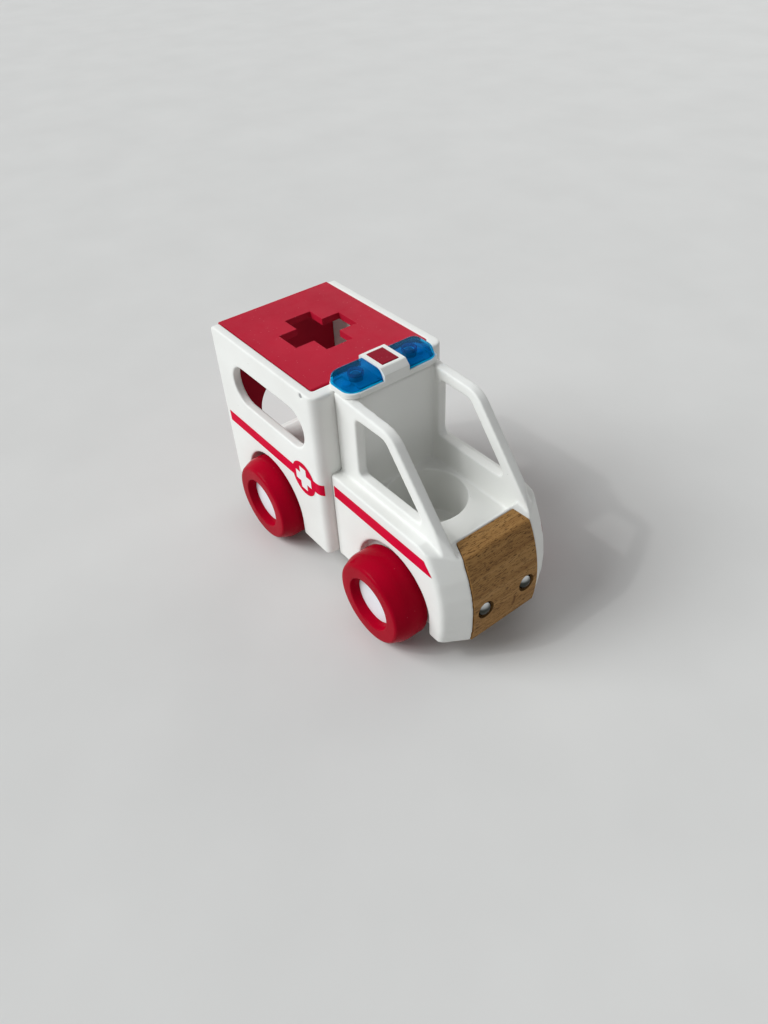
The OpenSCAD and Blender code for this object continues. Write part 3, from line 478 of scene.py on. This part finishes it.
# white shells: the box and the cab, as soft as moulded plastic
boxLook = {"grain": 0.45, "ease": 0.5, "melt": 8, "keep": 0.3}
boxShell = softMoulded("rear_body", "boxShell", boxLook)
fitPiece(boxShell, whitePlastic, "body", "white_plastic", "rear_body")
cabLook = {"grain": 0.45, "ease": 0.5, "melt": 15, "keep": 0.3}
cabShell = softMoulded("cab_shell", "cabShell", cabLook)
fitPiece(cabShell, whitePlastic, "body", "white_plastic", "cab_shell")
print("shells moulded:", len(boxShell.data.polygons), len(cabShell.data.polygons))


# red roof lid
lidLook = {"flat": 1.0, "edge": 0.6, "steps": 3, "sharp": 40, "smooth": 30}
roofLid = eased("roof_lid", "roofLid", lidLook)
fitPiece(roofLid, redPlastic, "lid", "red_plastic", "roof_lid")
print("lid eased:", len(roofLid.data.polygons))


# wooden nose and its headlamps
noseLook = {"flat": 1.0, "edge": 0.5, "steps": 3, "sharp": 35, "smooth": 30}
woodNose = eased("wood_nose", "woodNose", noseLook)
fitPiece(woodNose, beech, "body", "beech", "wood_nose")

lampLook = {"dome": 3.3, "collar": 0.6, "rise": 2.4, "foot": 0.15, "bead": 0.1, "bowSteps": 12, "steps": 48,
            "smooth": 40}
domeR = lampLook["dome"]
bow = lampLook["rise"] - lampLook["collar"]
bowR = (domeR ** 2 + bow ** 2) / (2 * bow)
rimAngle = math.degrees(math.asin(domeR / bowR))
lampProfile = [(0, 0), (domeR - lampLook["foot"], 0), (domeR, lampLook["foot"])]
lampProfile += [(domeR, lampLook["collar"] - lampLook["bead"])]
lampProfile += arcAt(0, lampLook["rise"] - bowR, bowR, 90 - rimAngle, 90, lampLook["bowSteps"])
for label in ("left", "right"):
    low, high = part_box("headlamp_" + label)
    middle = (low + high) / 2
    seat = high.x - lampLook["rise"] * mm
    lamp = turned("headlamp" + label.title(), lampProfile, (seat, middle.y, middle.z), (1, 0, 0), (0, 0, 1),
                  lampLook["steps"])
    smoothByAngle(lamp, lampLook["smooth"])
    fitPiece(lamp, chromeMetal, "body", "chrome", "headlamp_" + label)
print("nose and lamps done")


# wheels: tyres with a sloping shoulder, a flat face and a deep dish, white hubs pressed in
def roundedPath(corners, steps):
    # corners are (radius, along the axis, bend); a bend becomes an arc
    path = []
    for i, (r, a, bend) in enumerate(corners):
        here = Vector((r, a))
        if not bend:
            path.append((r, a))
            continue
        before = (Vector(corners[i - 1][:2]) - here).normalized()
        after = (Vector(corners[i + 1][:2]) - here).normalized()
        half = before.angle(after) / 2
        middle = here + (before + after).normalized() * bend / math.sin(half)
        start = here + before * bend / math.tan(half) - middle
        end = here + after * bend / math.tan(half) - middle
        swing = start.angle(end)
        for k in range(steps + 1):
            t = k / steps
            way = start * math.sin((1 - t) * swing) + end * math.sin(t * swing)
            point = middle + way / math.sin(swing)
            path.append((point.x, point.y))
    return path


wheelLook = {"tyreR": 21, "tyreIn": 26.5, "tyreOut": 42.5, "shoulderW": 5.5, "shoulderH": 2.4,
             "shoulderBend": 10, "innerBend": 2, "faceBend": 1.8, "dishBend": 0.6, "bendSteps": 8,
             "dishR": 12.3, "dishDeep": 4.0, "hubR": 11.2, "slip": 0.02, "steps": 128, "smooth": 35}
hubLook = {"edge": 0.35, "edgeSteps": 5, "bore": 2, "back": 0.4, "backEdge": 0.3}
w = wheelLook
tyreHole = w["hubR"] + w["slip"]
hubFace = w["tyreOut"] - w["dishDeep"]
tyreProfile = roundedPath([
    (tyreHole, w["tyreIn"], 0), (w["tyreR"], w["tyreIn"], w["innerBend"]),
    (w["tyreR"], w["tyreOut"] - w["shoulderW"], w["shoulderBend"]),
    (w["tyreR"] - w["shoulderH"], w["tyreOut"], w["faceBend"]), (w["dishR"], w["tyreOut"], w["dishBend"]),
    (tyreHole, hubFace, 0), (tyreHole, w["tyreIn"], 0),
], w["bendSteps"])
hubBack = w["tyreIn"] + hubLook["back"]
hubProfile = [(hubLook["bore"] + w["slip"], hubBack), (w["hubR"] - hubLook["backEdge"], hubBack)]
hubProfile += [(w["hubR"], hubBack + hubLook["backEdge"])]
hubProfile += arcAt(w["hubR"] - hubLook["edge"], hubFace - hubLook["edge"], hubLook["edge"], 0, 90,
                    hubLook["edgeSteps"])
hubProfile += [(w["hubR"] / 2, hubFace), (0, hubFace)]
for axleName, body in (("front", "front_wheels"), ("rear", "rear_wheels")):
    axleLow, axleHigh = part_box("axle_" + axleName)
    axleMiddle = (axleLow + axleHigh) / 2
    for side, label in ((1, "left"), (-1, "right")):
        for kind, profile, material, slotName in (
                ("tyre", tyreProfile, redTyre, "red_tyre"), ("hub", hubProfile, hubWhite, "white_plastic")):
            piece = turned(kind + axleName.title() + label.title(), [(r, a * side) for r, a in profile],
                           (axleMiddle.x, 0, axleMiddle.z), (0, 1, 0), (1, 0, 0), w["steps"])
            smoothByAngle(piece, w["smooth"])
            fitPiece(piece, material, body, slotName, kind + "_" + axleName + "_" + label)
print("wheels turned")


# light bar: white base with a thin rim under the lenses, blue lenses, diodes and the red button
def selectEdges(piece, wanted):
    pickOnly(piece)
    bpy.context.tool_settings.mesh_select_mode = (False, True, False)
    for part in (*piece.data.vertices, *piece.data.polygons):
        part.select = False
    for edge in piece.data.edges:
        edge.select = wanted(*[piece.data.vertices[v].co / mm for v in edge.vertices])
    bpy.ops.object.mode_set(mode="EDIT")


def selectVerts(piece, wanted):
    pickOnly(piece)
    bpy.context.tool_settings.mesh_select_mode = (True, False, False)
    for part in (*piece.data.edges, *piece.data.polygons):
        part.select = False
    for vert in piece.data.vertices:
        vert.select = wanted(vert.co / mm)
    bpy.ops.object.mode_set(mode="EDIT")


def selectFaces(piece, wanted):
    pickOnly(piece)
    bpy.context.tool_settings.mesh_select_mode = (False, False, True)
    for part in (*piece.data.vertices, *piece.data.edges):
        part.select = False
    for face in piece.data.polygons:
        face.select = wanted(face)
    bpy.ops.object.mode_set(mode="EDIT")


def blockAt(name, low, high):
    pickOnly(None)
    middle = [(a + b) / 2 * mm for a, b in zip(low, high)]
    bpy.ops.mesh.primitive_cube_add(size=1, location=middle)
    piece = newPiece(name)
    piece.scale = [(b - a) * mm for a, b in zip(low, high)]
    settle(piece)
    return piece


baseLook = {"flat": 1.0, "edge": 0.25, "steps": 2, "sharp": 40, "smooth": 30,
            "rimRear": -4.2, "rimFront": 12.2, "rimOut": 23.3, "rimLow": 98.02, "rimHigh": 100.2,
            "rimCorner": 4.6, "cornerSteps": 12, "rimSoft": 0.3, "softSteps": 3, "rimWall": 1.4,
            "rimFloor": 0.3}
b = baseLook
barBase = copyNode("light_bar_base", "barBase")
editAll(barBase)
bpy.ops.mesh.dissolve_limited(angle_limit=math.radians(b["flat"]))
leaveEdit()
addMod(barBase, "BEVEL", width=b["edge"] * mm, segments=b["steps"], limit_method="ANGLE",
       angle_limit=math.radians(b["sharp"]), use_clamp_overlap=True)
barRim = blockAt("barRim", (b["rimRear"], -b["rimOut"], b["rimLow"]),
                 (b["rimFront"], b["rimOut"], b["rimHigh"]))
selectEdges(barRim, lambda p, q: abs(p.z - q.z) > touching)
bpy.ops.mesh.bevel(offset=b["rimCorner"] * mm, segments=b["cornerSteps"], affect="EDGES")
leaveEdit()
selectEdges(barRim, lambda p, q: min(p.z, q.z) > b["rimHigh"] - touching)
bpy.ops.mesh.bevel(offset=b["rimSoft"] * mm, segments=b["softSteps"], affect="EDGES")
leaveEdit()
selectFaces(barRim, lambda face: face.normal.z > 0.99)  # the top alone
bpy.ops.mesh.inset(thickness=b["rimWall"] * mm)
bpy.ops.mesh.extrude_region_move(
    TRANSFORM_OT_translate={"value": (0, 0, (b["rimLow"] + b["rimFloor"] - b["rimHigh"]) * mm)})
leaveEdit()
for piece in (barBase, barRim):
    crispFlats(piece, b["smooth"])
fitPiece(barBase, whitePlastic, "body", "white_plastic", "light_bar_base")
fitPiece(barRim, whitePlastic, "body", "white_plastic")

lensLook = {"rear": -4.05, "front": 11.75, "inner": 6.45, "outer": 23.05, "low": 100.15, "high": 104.7,
            "frontCorner": 5.4, "rearCorner": 4.4, "cornerSteps": 12, "frontLean": 1.7, "rearLean": 0.5,
            "endLean": 0.7, "soft": 2.3, "softSteps": 5, "wall": 1.1, "smooth": 40, "collarLow": 102.5,
            "collarIn": 2.5, "collarOut": 3.3, "collarH": 1.2, "collarSteps": 48}
n = lensLook
collarProfile = [(n["collarIn"], 0), (n["collarOut"], 0), (n["collarOut"], n["collarH"]),
                 (n["collarIn"], n["collarH"]), (n["collarIn"], 0)]
diodeLow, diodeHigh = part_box("leds")
diodeX = (diodeLow.x + diodeHigh.x) / 2
diodeY = diodeHigh.y - (diodeHigh.x - diodeLow.x) / 2
for side, label in ((1, "left"), (-1, "right")):
    ends = sorted((side * n["inner"], side * n["outer"]))
    lens = blockAt("lens" + label.title(), (n["rear"], ends[0], n["low"]), (n["front"], ends[1], n["high"]))
    for cornerX, bend in ((n["front"], n["frontCorner"]), (n["rear"], n["rearCorner"])):
        selectEdges(lens, lambda p, q: abs(p.z - q.z) > touching and abs(p.y) > n["outer"] - touching
                    and abs(p.x - cornerX) < touching)
        bpy.ops.mesh.bevel(offset=bend * mm, segments=n["cornerSteps"], affect="EDGES")
        leaveEdit()
    lean = (n["frontLean"] + n["rearLean"]) / (n["front"] - n["rear"])
    still = (n["rear"] + n["rearLean"] / lean) * mm
    selectVerts(lens, lambda p: p.z > n["high"] - touching)
    bpy.ops.transform.resize(value=(1 - lean, 1 - n["endLean"] / (n["outer"] - n["inner"]), 1),
                             center_override=(still, side * n["inner"] * mm, n["high"] * mm))
    leaveEdit()
    selectEdges(lens, lambda p, q: min(p.z, q.z) > n["high"] - touching
                and max(abs(p.y), abs(q.y)) > n["inner"] + touching)
    bpy.ops.mesh.bevel(offset=n["soft"] * mm, segments=n["softSteps"], affect="EDGES")
    leaveEdit()
    # open below and at the middle
    selectFaces(lens, lambda face: face.normal.z < -0.9 or face.normal.y * side < -0.9)
    bpy.ops.mesh.delete(type="FACE")
    leaveEdit()
    addMod(lens, "SOLIDIFY", thickness=n["wall"] * mm, offset=-1, use_even_offset=True)
    collar = turned("collar" + label.title(), collarProfile, (diodeX, side * diodeY, n["collarLow"] * mm),
                    (0, 0, 1), (1, 0, 0), n["collarSteps"])
    pickOnly(lens)
    collar.select_set(True)
    bpy.ops.object.join()
    smoothByAngle(lens, n["smooth"])
    fitPiece(lens, blueLens, "body", "blue_lens", "lens_" + label)

diodeLook = {"flangeR": 2.9, "flange": 0.8, "r": 2.4, "domeFrom": 0.5, "domeStart": 8, "domeSteps": 10,
             "steps": 40, "smooth": 40}
d = diodeLook
diodeProfile = ([(0, 0), (d["flangeR"], 0), (d["flangeR"], d["flange"]), (d["r"], d["flange"])]
                + arcAt(0, d["domeFrom"], d["r"], d["domeStart"], 90, d["domeSteps"]))
diodePair = []
for side, label in ((1, "Left"), (-1, "Right")):
    diodePair.append(turned("diode" + label, diodeProfile, (diodeX, side * diodeY, diodeLow.z),
                            (0, 0, 1), (1, 0, 0), d["steps"]))
pickOnly(diodePair[0])
diodePair[1].select_set(True)
bpy.ops.object.join()
diodes = newPiece("diodes")
smoothByAngle(diodes, d["smooth"])
fitPiece(diodes, clearDiode, "body", "clear_diode", "leds")

buttonLook = {"flat": 1.0, "edge": 0.3, "steps": 3, "smooth": 30}
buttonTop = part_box("button_cap")[1].z / mm
pushButton = copyNode("button_cap", "pushButton")
editAll(pushButton)
bpy.ops.mesh.dissolve_limited(angle_limit=math.radians(buttonLook["flat"]))
leaveEdit()
# the room for the switch stays sharp
selectEdges(pushButton, lambda p, q: max(p.z, q.z) > buttonTop - touching)
bpy.ops.mesh.bevel(offset=buttonLook["edge"] * mm, segments=buttonLook["steps"], affect="EDGES")
leaveEdit()
crispFlats(pushButton, buttonLook["smooth"])
fitPiece(pushButton, buttonRed, "button", "red_plastic", "button_cap")
print("light bar done")


# printed red bands and roundels on both sides
filmLook = {"startY": 40, "thick": 0.04, "smooth": 30, "rows": 8}
bandLook = {"low": 48.3, "high": 54.0, "from": -76.75, "to": 0.75, "columns": 156, "lift": 0.05}
cabBandLook = {"low": 48.0, "high": 54.0, "from": 3.25, "toLow": 66.75, "toHigh": 62.25, "columns": 128}
roundelLook = {"x": -12.95, "z": 50.5, "r": 8.6, "steps": 96, "arm": 4.6, "reach": 11.6, "lift": 0.1,
               "crossLift": 0.16}


def sideGrid(name, x0, x1, z0, z1, columns, rows, side):
    pickOnly(None)
    bpy.ops.mesh.primitive_grid_add(x_subdivisions=columns, y_subdivisions=rows, size=1,
                                    rotation=(math.pi / 2, 0, 0),
                                    location=((x0 + x1) / 2 * mm, side * filmLook["startY"] * mm,
                                              (z0 + z1) / 2 * mm))
    piece = newPiece(name)
    piece.scale = ((x1 - x0) * mm, (z1 - z0) * mm, 1)
    settle(piece)
    return piece


def laidOn(piece, shell, side, lift):
    # pressed flat onto the shell beneath, then given a film's thickness
    addMod(piece, "SHRINKWRAP", target=shell, wrap_method="PROJECT", use_project_y=True,
           use_negative_direction=side > 0, use_positive_direction=side < 0, offset=0)
    editAll(piece)
    bpy.ops.transform.translate(value=(0, side * lift * mm, 0))
    bpy.ops.mesh.normals_make_consistent(inside=False)
    leaveEdit()
    facing = sum(p.normal.y * side for p in piece.data.polygons)
    if facing < 0:
        editAll(piece)
        bpy.ops.mesh.flip_normals()
        leaveEdit()
    addMod(piece, "SOLIDIFY", thickness=filmLook["thick"] * mm, offset=1)
    smoothByAngle(piece, filmLook["smooth"])


for side, label in ((1, "Left"), (-1, "Right")):
    band = sideGrid("boxBand" + label, bandLook["from"], bandLook["to"], bandLook["low"], bandLook["high"],
                    bandLook["columns"], filmLook["rows"], side)
    laidOn(band, boxShell, side, bandLook["lift"])
    fitPiece(band, redFilm, "body", "red_plastic")
    cabBand = sideGrid("cabBand" + label, cabBandLook["from"], cabBandLook["toLow"], cabBandLook["low"],
                       cabBandLook["high"], cabBandLook["columns"], filmLook["rows"], side)
    slant = (cabBandLook["toLow"] - cabBandLook["toHigh"]) / (cabBandLook["high"] - cabBandLook["low"])
    span = cabBandLook["toLow"] - cabBandLook["from"]
    for row in range(1, filmLook["rows"] + 1):
        rise = row * (cabBandLook["high"] - cabBandLook["low"]) / filmLook["rows"]
        selectVerts(cabBand, lambda p: abs(p.z - cabBandLook["low"] - rise) < touching)
        bpy.ops.transform.resize(value=(1 - slant * rise / span, 1, 1),
                                 center_override=(cabBandLook["from"] * mm, 0, 0))
        leaveEdit()
    laidOn(cabBand, cabShell, side, bandLook["lift"])
    fitPiece(cabBand, redFilm, "body", "red_plastic")

    pickOnly(None)
    discPlace = (roundelLook["x"] * mm, side * filmLook["startY"] * mm, roundelLook["z"] * mm)
    bpy.ops.mesh.primitive_circle_add(vertices=roundelLook["steps"], radius=roundelLook["r"] * mm,
                                      fill_type="TRIFAN", rotation=(math.pi / 2, 0, 0), location=discPlace)
    disc = newPiece("roundel" + label)
    settle(disc)
    laidOn(disc, boxShell, side, roundelLook["lift"])
    fitPiece(disc, redFilm, "body", "red_plastic")
    reach = roundelLook["reach"] / 2
    arm = roundelLook["arm"] / 2
    crossFilm = sideGrid("roundelCross" + label, roundelLook["x"] - reach, roundelLook["x"] + reach,
                         roundelLook["z"] - reach, roundelLook["z"] + reach, 3, 3, side)
    inward = 3 * arm / reach  # the grid's inner lines stand at a third of the reach
    middle = (roundelLook["x"] * mm, 0, roundelLook["z"] * mm)
    selectVerts(crossFilm, lambda p: abs(p.x - roundelLook["x"]) < reach - touching)
    bpy.ops.transform.resize(value=(inward, 1, 1), center_override=middle)
    leaveEdit()
    selectVerts(crossFilm, lambda p: abs(p.z - roundelLook["z"]) < reach - touching)
    bpy.ops.transform.resize(value=(1, 1, inward), center_override=middle)
    leaveEdit()
    selectFaces(crossFilm, lambda face: abs(face.center.x / mm - roundelLook["x"]) > arm
                and abs(face.center.z / mm - roundelLook["z"]) > arm)
    bpy.ops.mesh.delete(type="FACE")
    leaveEdit()
    laidOn(crossFilm, boxShell, side, roundelLook["crossLift"])
    fitPiece(crossFilm, whiteFilm, "body", "white_plastic")
print("bands laid on")


# nodes that stay as they are, with their finish
keptFinish = {
    "chassis": whitePlastic, "battery_door": whitePlastic, "lid_hinge_pins": steelMetal,
    "light_bar_screws": hubWhite, "body_screws": steelMetal, "battery_door_screw": steelMetal,
    "axle_front": steelMetal, "axle_rear": steelMetal, "button_cells": steelMetal,
    "battery_contacts": steelMetal, "circuit_board": boardWhite,
    "switch_case": darkPlastic, "switch_plunger": darkPlastic, "flat_lead": darkPlastic,
    "speaker": darkPlastic,
}
for node, material in keptFinish.items():
    meshSlots = cadNode[node].data.materials
    meshSlots.clear()
    meshSlots.append(material)
print("kept nodes finished:", len(keptFinish))


# floor, lamps and sky
floorLook = {"dark": (0.655, 0.65, 0.635), "pale": (0.685, 0.68, 0.665), "cloud": 14, "rough": 0.7,
             "gloss": 0.1, "size": 6.0}
skyLook = {"lighting": 0.26, "seen": 0.92, "colour": (0.95, 0.97, 1.0, 1)}
pickOnly(None)
bpy.ops.mesh.primitive_plane_add(size=floorLook["size"], location=(0, 0, 0))
floor = newPiece("floor")
floorMaterial, floorTree, floorShader = startMaterial("paleFloor")
floorTone = noise(floorTree, placed(floorTree), floorLook["cloud"], detail=3.0)
floorTree.links.new(twoTone(floorTree, floorTone, floorLook), floorShader.inputs["Base Color"])
floorShader.inputs["Roughness"].default_value = floorLook["rough"]
floorShader.inputs["Specular IOR Level"].default_value = floorLook["gloss"]
floor.data.materials.append(floorMaterial)

world = bpy.data.worlds.new("paleSky")
bpy.context.scene.world = world
world.use_nodes = True
skyTree = world.node_tree
skyNode = skyTree.nodes["Background"]
skyNode.inputs["Color"].default_value = skyLook["colour"]
lightPath = skyTree.nodes.new("ShaderNodeLightPath")
seenStraight = joinValues(skyTree, "MAXIMUM", lightPath.outputs["Is Camera Ray"],
                          lightPath.outputs["Is Transmission Ray"])
seenAll = joinValues(skyTree, "MAXIMUM", seenStraight, lightPath.outputs["Is Glossy Ray"])
skyStrength = spread(skyTree, seenAll, skyLook["lighting"], skyLook["seen"], fromLow=0, fromHigh=1)
skyTree.links.new(skyStrength, skyNode.inputs["Strength"])

lightLooks = [
    {"name": "windowLamp", "from": (-0.42, -0.66, 0.62), "power": 2.7, "soft": 40,
     "colour": (0.955, 0.985, 1.0)},
    {"name": "sparkLamp", "from": (-0.30, -0.62, 0.72), "power": 0.25, "soft": 1.6,
     "colour": (1.0, 1.0, 1.0)},
    {"name": "fillLamp", "from": (-0.35, 0.80, 0.45), "power": 0.7, "soft": 60, "colour": (1.0, 0.98, 0.95)},
]
for look in lightLooks:
    lightData = bpy.data.lights.new(look["name"], "SUN")
    lightData.energy = look["power"]
    lightData.angle = math.radians(look["soft"])
    lightData.color = look["colour"]
    light = bpy.data.objects.new(look["name"], lightData)
    bpy.context.scene.collection.objects.link(light)
    light.rotation_euler = (-Vector(look["from"])).to_track_quat("-Z", "Y").to_euler()
print("stage lit")
